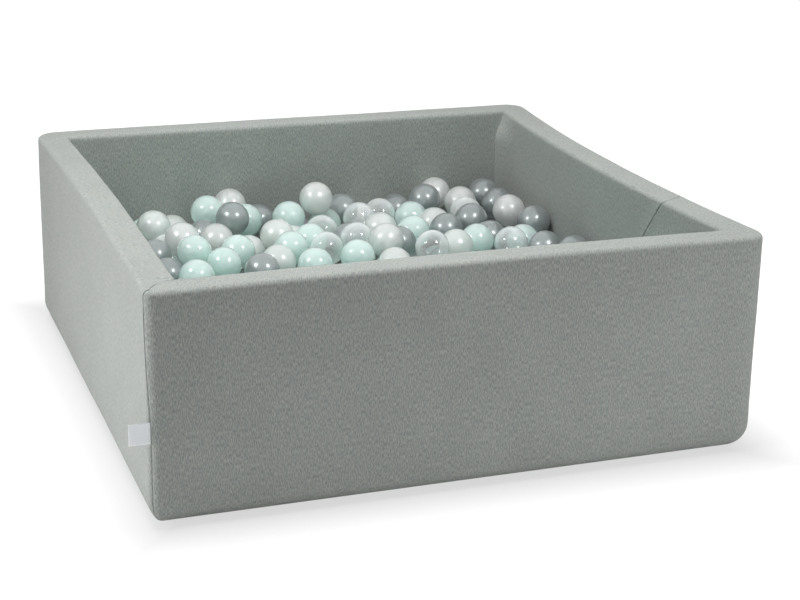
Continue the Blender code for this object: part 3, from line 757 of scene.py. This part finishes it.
def coil_teeth(name, node):
    """One thread wound flat along the tape's edge, as its own closed tube."""
    low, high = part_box(node)
    middle = (low + high) / 2
    half_deep = (high.y - low.y) / 2 - thread_radius
    half_tall = (high.z - low.z) / 2 - thread_radius
    turns = int((high.x - low.x - 2 * thread_radius) / coil_pitch)
    start = low.x + thread_radius
    bm = bmesh.new()
    rings = []
    for step in range(turns * steps_per_turn + 1):
        turn = 2 * math.pi * step / steps_per_turn
        centre = Vector((start + coil_pitch * step / steps_per_turn, middle.y + half_deep * math.sin(turn),
                         middle.z + half_tall * math.cos(turn)))
        out = Vector((0.0, math.sin(turn), math.cos(turn)))
        side = Vector((1.0, 0.0, 0.0))
        rings.append([bm.verts.new(centre + thread_radius * (out * math.cos(bend) + side * math.sin(bend)))
                      for bend in thread_sides])
    for first, second in zip(rings, rings[1:]):
        for number in range(len(first)):
            after = (number + 1) % len(first)
            bm.faces.new([first[number], first[after], second[after], second[number]])
    bm.faces.new(rings[0])
    bm.faces.new(rings[-1])
    bmesh.ops.recalc_face_normals(bm, faces=bm.faces)
    piece = add_object(name, mesh_from(name, bm, coil_material))
    piece.data.shade_smooth()
    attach(piece, "pit")
    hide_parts(node)


coil_teeth("upper_coil_thread", "upper_zip_coil")
coil_teeth("lower_coil_thread", "lower_zip_coil")

metal_material, tree = new_tree("satin_zip_metal")
place = object_place(tree)
tumble = add_node(tree, "ShaderNodeTexNoise", {"Vector": place, "Scale": 900.0, "Detail": 3.0})
rough = add_node(tree, "ShaderNodeMapRange", {"Value": tumble.outputs[0], "To Min": 0.25, "To Max": 0.45})
marks = bumped(tree, tumble.outputs[0], 0.15, 0.0001)
surface(tree, {"Base Color": (0.56, 0.56, 0.57, 1.0), "Metallic": 1.0, "Roughness": rough.outputs[0],
               "Normal": marks})
finish_nodes(["zip_slider", "zip_pull", "zip_start_stop", "zip_end_stop"], metal_material)


# Side tag
# A plain white satin ribbon, folded double and sewn into the front-left seam. It stands out to the left.

ribbon_material, tree = new_tree("white_satin_ribbon")
place = object_place(tree)
weave = add_node(tree, "ShaderNodeTexWave", {"Vector": place, "Scale": 420.0, "Distortion": 0.3},
                 bands_direction="Z")
shade = blend(tree, weave.outputs[0], (0.80, 0.84, 0.87, 1.0), (0.88, 0.91, 0.93, 1.0))
ribs = bumped(tree, weave.outputs[0], 0.2, 0.0001)
surface(tree, {"Base Color": shade, "Roughness": 0.42, "Sheen Weight": 0.3, "Normal": ribs})
tag_low, tag_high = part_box("side_tag")
tag_middle = (tag_low.y + tag_high.y) / 2
tag_loop = 0.0010
tag_closing = 0.7
tag_root = 0.25
tag_opening = 2.2
tag_inset = 0.0004
tag_curl, curl_waves, curl_turn = 0.0006, 1.3, 0.4
ribbon_thickness = 0.0003
tag_rows = 14
flat_places = np.linspace(0.0, 1.0, 13)
loop_turns = np.linspace(0.0, math.pi, 9)[1:-1]
bm = bmesh.new()
outline = []
for share in flat_places:
    outline.append((tag_high.x - tag_inset - share * (tag_high.x - tag_low.x - tag_loop - tag_inset),
                    -tag_loop * min(1.0, tag_root + share * tag_opening)))
for turn in loop_turns:
    outline.append((tag_low.x + tag_loop - tag_loop * math.sin(turn), -tag_loop * math.cos(turn)))
outline += [(x, -y) for x, y in reversed(outline[:len(flat_places)])]
rows = []
for share in np.linspace(0.0, 1.0, tag_rows + 1):
    level = tag_low.z + (tag_high.z - tag_low.z) * share
    row = []
    for x, y in outline:
        out = (tag_high.x - x) / (tag_high.x - tag_low.x)
        curl = tag_curl * out * math.sin(share * math.pi * curl_waves + curl_turn)
        row.append(bm.verts.new((x, tag_middle + y * tag_closing + curl, level)))
    rows.append(row)
for first, second in zip(rows, rows[1:]):
    for number in range(len(outline) - 1):
        bm.faces.new([first[number], first[number + 1], second[number + 1], second[number]])
bmesh.ops.recalc_face_normals(bm, faces=bm.faces)
tag = cloth_body("folded_ribbon", bm, ribbon_material, ribbon_thickness)
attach(tag, "tag")
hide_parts("side_tag")


# Separate balls
# Hollow plastic balls 70 mm across, each blown in a two-part mould that leaves a fine line round it. The
# finishes are pearl white, silver grey, pale mint and clear.

ball_radius = 0.035
line_height = 0.00006
line_turns = [-0.024, -0.016, -0.006, 0.006, 0.016, 0.024]
raised_turn = 0.01
cleared_turn = 0.02


def plastic_group():
    """Slight unevenness of blown plastic: a tone from nought to one, and the height of small marks."""
    group = bpy.data.node_groups.new("blown_plastic", "ShaderNodeTree")
    add_sockets(group, "INPUT", "Float", ["Mark Size"])
    add_sockets(group, "OUTPUT", "Float", ["Tone", "Height"])
    given = add_node(group, "NodeGroupInput").outputs
    spot = object_place(group)
    cloudy = add_node(group, "ShaderNodeTexNoise", {"Vector": spot, "Scale": 38.0, "Detail": 2.0})
    fine = maths(group, "DIVIDE", 1.0, given["Mark Size"])
    marks = add_node(group, "ShaderNodeTexNoise", {"Vector": spot, "Scale": fine, "Detail": 3.0})
    add_node(group, "NodeGroupOutput", {"Tone": cloudy.outputs[0], "Height": marks.outputs[0]})
    return group


blown_plastic = plastic_group()


def ball_material(name, dark, light, mark_size, mark_depth, settings):
    material, tree = new_tree(name)
    plastic = add_node(tree, "ShaderNodeGroup", {"Mark Size": mark_size}, node_tree=blown_plastic).outputs
    surface(tree, {"Base Color": blend(tree, plastic["Tone"], dark, light),
                   "Normal": bumped(tree, plastic["Height"], 0.2, mark_depth), **settings})
    return material


def thin_walled(weight, reach):
    """Light that enters a thin hollow ball leaves it again all round, so its shaded side stays pale."""
    return {"Subsurface Weight": weight, "Subsurface Radius": (1.0, 1.0, 1.0), "Subsurface Scale": reach}


pearl_plastic = ball_material(
    "pearl_plastic", (0.76, 0.825, 0.785, 1.0), (0.81, 0.865, 0.83, 1.0), 0.0004, 0.00005,
    {"Metallic": 0.10, "Roughness": 0.34, "Coat Weight": 0.7, "Coat Roughness": 0.13, **thin_walled(1.0, 0.40)})
silver_plastic = ball_material(
    "silver_plastic", (0.235, 0.265, 0.267, 1.0), (0.29, 0.32, 0.323, 1.0), 0.0004, 0.00005,
    {"Metallic": 0.45, "Roughness": 0.30, "Coat Weight": 0.6, "Coat Roughness": 0.10, **thin_walled(0.9, 0.40)})
mint_plastic = ball_material(
    "mint_plastic", (0.49, 0.885, 0.735, 1.0), (0.54, 0.91, 0.775, 1.0), 0.002, 0.0001,
    {"Roughness": 0.20, "Coat Weight": 0.6, "Coat Roughness": 0.05, **thin_walled(1.0, 0.30)})
clear_plastic = ball_material(
    "clear_plastic", (0.86, 0.92, 0.92, 1.0), (0.93, 0.96, 0.96, 1.0), 0.002, 0.0001,
    {"Roughness": 0.05, "IOR": 1.9, "Coat Weight": 1.0, "Coat Roughness": 0.03, "Coat IOR": 2.0})
tree = clear_plastic.node_tree
edge_on = add_node(tree, "ShaderNodeLayerWeight", {"Blend": 0.45})
cover = add_node(tree, "ShaderNodeMapRange",
                 {"Value": edge_on.outputs["Facing"], "To Min": 0.20, "To Max": 0.88})
tree.links.new(cover.outputs[0], tree.nodes["Principled BSDF"].inputs["Alpha"])
ball_finishes = {"pearl": pearl_plastic, "silver": silver_plastic, "mint": mint_plastic, "clear": clear_plastic}


def ball_skin(around, between, lined):
    """Points and faces of one ball, where lined with the mould's line standing out at its middle."""
    turns = [math.pi * share / between - math.pi / 2 for share in range(1, between)]
    if lined:
        turns = sorted([turn for turn in turns if abs(turn) > cleared_turn] + line_turns)
    points = [Vector((0.0, 0.0, -ball_radius))]
    for turn in turns:
        radius = ball_radius + (line_height if lined and abs(turn) < raised_turn else 0.0)
        for step in range(around):
            angle = 2 * math.pi * step / around
            points.append(Vector((radius * math.cos(turn) * math.cos(angle),
                                  radius * math.cos(turn) * math.sin(angle), radius * math.sin(turn))))
    points.append(Vector((0.0, 0.0, ball_radius)))
    faces = []
    for step in range(around):
        after = (step + 1) % around
        faces.append((0, 1 + after, 1 + step))
        for row in range(len(turns) - 1):
            low = 1 + row * around
            faces.append((low + step, low + after, low + around + after, low + around + step))
        last = 1 + (len(turns) - 1) * around
        faces.append((last + step, last + after, len(points) - 1))
    return np.array(points), faces


def heap_mesh(name, centres, skin, material, turns):
    """One mesh with a ball at each centre, each turned its own way."""
    points, faces = skin
    all_points = []
    all_faces = []
    for number, centre in enumerate(centres):
        axis = Vector((turns.gauss(0, 1), turns.gauss(0, 1), turns.gauss(0, 1))).normalized()
        turned = Matrix.Rotation(turns.uniform(0, math.tau), 3, axis)
        all_points.append(points @ np.array(turned).T + np.array(centre))
        all_faces += [tuple(index + number * len(points) for index in face) for face in faces]
    mesh = bpy.data.meshes.new(name)
    mesh.from_pydata(np.concatenate(all_points).tolist(), [], all_faces)
    mesh.materials.append(material)
    mesh.shade_smooth()
    return mesh


fine_skin = ball_skin(48, 24, True)
ball_turns = random.Random(7)
separate_centres = []
for node in sorted(frame["nodes"]):
    if "_ball_" not in node or node.endswith("_bed"):
        continue
    finish = node.split("_")[0]
    low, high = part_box(node)
    centre = (low + high) / 2
    separate_centres.append(centre)
    mesh = heap_mesh("moulded_" + node, [Vector()], fine_skin, ball_finishes[finish], ball_turns)
    ball = add_object("moulded_" + node, mesh)
    ball.location = centre
    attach(ball, node if node in frame["bodies"] else "pit")
    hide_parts(node)


# Packed balls
# The same balls, heaped under and around the separate ones. Each lump that stands out of a packed bed gives
# the place of one ball, and more are let down under them into a heap that keeps clear of the walls.

# The lumps whose finish the photograph shows: finish, x and y
joined_balls = [
    ("silver", -0.238, 0.358), ("pearl", -0.229, 0.289), ("mint", -0.253, 0.135), ("silver", -0.099, 0.437),
    ("mint", -0.143, 0.381), ("pearl", -0.168, 0.262), ("mint", -0.046, 0.232), ("clear", 0.003, 0.310),
    ("mint", 0.029, 0.374), ("pearl", 0.132, 0.455), ("pearl", 0.123, 0.283), ("silver", 0.045, 0.254),
    ("silver", 0.128, 0.177), ("mint", 0.218, 0.354), ("pearl", 0.348, 0.396), ("silver", 0.336, 0.194),
    ("pearl", 0.247, 0.290), ("mint", -0.348, 0.421), ("silver", -0.369, 0.236), ("silver", -0.358, 0.170),
    ("pearl", -0.065, 0.297), ("pearl", 0.078, 0.066), ("mint", 0.395, 0.156), ("clear", -0.328, 0.304),
]
table_reach = 0.02
finish_weights = {"pearl": 12, "mint": 12, "silver": 13, "clear": 7}
peak_step = 0.002

# The highest place of a hidden ball's centre in each bed, and where the two beds meet
packed_limits = {"rear": 0.108, "front": 0.137}
bed_split = -0.050

# The heap's loose layers, the play that it keeps, how it is shaken, and how hard its balls are pushed apart
heap_levels = (0.0710, 0.130)
heap_spacing = 0.0745
heap_rounds = 160
row_shift = 0.5
layer_shift = 0.33
wall_play = 0.0006
mat_play = 0.001
shake_across = 0.009
shake_up = 0.006
free_push = 0.45
fixed_push = 0.9
least_apart = 1.94 * ball_radius
heap_turns = random.Random(23)


def some_finish():
    return heap_turns.choices(list(finish_weights), list(finish_weights.values()))[0]


def lump_centres(node):
    """Centres of the balls that stand out of a packed bed, from the peaks of its surface."""
    thing = frame["nodes"][node]
    spots = [tuple(round(value, 5) for value in thing.matrix_world @ vert.co) for vert in thing.data.vertices]
    highest = {}
    for edge in thing.data.edges:
        first, second = (spots[number] for number in edge.vertices)
        for here, there in ((first, second), (second, first)):
            if here != there:
                highest[here] = max(highest.get(here, -1.0), there[2])
    return [(x, y, z - ball_radius) for (x, y, z), top in sorted(highest.items()) if z > top + peak_step]


def finish_at(spot):
    """The finish of the nearest ball of the table, or any where none is near."""
    near, finish = min((math.hypot(x - spot[0], y - spot[1]), finish) for finish, x, y in joined_balls)
    return finish if near < table_reach else some_finish()


def heap_limits(places):
    """The lowest and highest place of each ball's centre, inside the sagging walls and under the top layer."""
    inside = pit_half - wall_thickness - ball_radius - wall_play
    lift = np.clip((places[:, 2] + ball_radius - mat_level) / (pit_height - mat_level), 0.0, 1.0)
    by_y = np.clip(1.0 - (places[:, 1] / pit_half) ** 2, 0.0, 1.0)
    by_x = np.clip(1.0 - (places[:, 0] / pit_half) ** 2, 0.0, 1.0)
    low = np.stack([-inside + rim_sag["left"] * by_y * lift, -inside + rim_sag["front"] * by_x * lift,
                    np.full(len(places), mat_level + ball_radius + mat_play)], axis=1)
    top = np.where(places[:, 1] < bed_split, packed_limits["front"], packed_limits["rear"])
    high = np.stack([inside - rim_sag["right"] * by_y * lift, np.full(len(places), inside), top], axis=1)
    return low, high


def heap_places(fixed):
    """Starts from loose layers, pushes the balls apart until they only touch, and leaves out any that can't."""
    start = []
    inside = pit_half - wall_thickness - ball_radius
    row_step = heap_spacing * math.sin(math.pi / 3)
    for layer, level in enumerate(heap_levels):
        for row in range(int(2 * inside / row_step) + 1):
            for column in range(int(2 * inside / heap_spacing) + 1):
                shift = heap_spacing * row_shift * ((row + layer) % 2)
                x = -inside + heap_spacing * column + shift + heap_turns.uniform(-shake_across, shake_across)
                y = (-inside + row_step * (row + layer_shift * layer)
                     + heap_turns.uniform(-shake_across, shake_across))
                if x < inside and y < inside:
                    start.append((x, y, level + heap_turns.uniform(-shake_up, shake_up)))
    places = np.array(start)
    fixed = np.array(fixed)
    for _ in range(heap_rounds):
        apart = places[:, None] - places[None]
        far = np.linalg.norm(apart, axis=2) + np.eye(len(places))
        push = np.clip(2 * ball_radius - far, 0.0, None) * (1 - np.eye(len(places)))
        places = places + (apart / far[..., None] * push[..., None]).sum(axis=1) * free_push
        apart = places[:, None] - fixed[None]
        far = np.linalg.norm(apart, axis=2)
        push = np.clip(2 * ball_radius - far, 0.0, None)
        places = places + (apart / far[..., None] * push[..., None]).sum(axis=1) * fixed_push
        low, high = heap_limits(places)
        places = np.clip(places, low, high)
    kept = []
    for spot in sorted(places.tolist(), key=lambda place: -place[2]):
        near = min(math.dist(spot, other) for other in kept + fixed.tolist())
        if near > least_apart:
            kept.append(spot)
    return kept


def pile_up(mesh, more):
    bm = bmesh.new()
    bm.from_mesh(mesh)
    bm.from_mesh(more)
    bm.to_mesh(mesh)
    bm.free()
    bpy.data.meshes.remove(more)


lumps = {side: [(finish_at(spot), spot) for spot in lump_centres(side + "_ball_bed")] for side in packed_limits}
standing = [spot for side in lumps for finish, spot in lumps[side]]
solid_balls = [tuple(centre) for centre in separate_centres] + standing
hidden = [(some_finish(), spot) for spot in heap_places(solid_balls)]
plain_skin = ball_skin(26, 14, False)
for side in lumps:
    node = side + "_ball_bed"
    for finish in finish_weights:
        top_spots = [spot for kind, spot in lumps[side] if kind == finish]
        low_spots = [spot for kind, spot in hidden
                     if kind == finish and (spot[1] > bed_split) == (side == "rear")]
        name = side + "_packed_" + finish
        mesh = heap_mesh(name, low_spots, plain_skin, ball_finishes[finish], heap_turns)
        pile_up(mesh, heap_mesh(name + "_top", top_spots, fine_skin, ball_finishes[finish], heap_turns))
        heap = add_object(name, mesh)
        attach(heap, "pit")
        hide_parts(node)
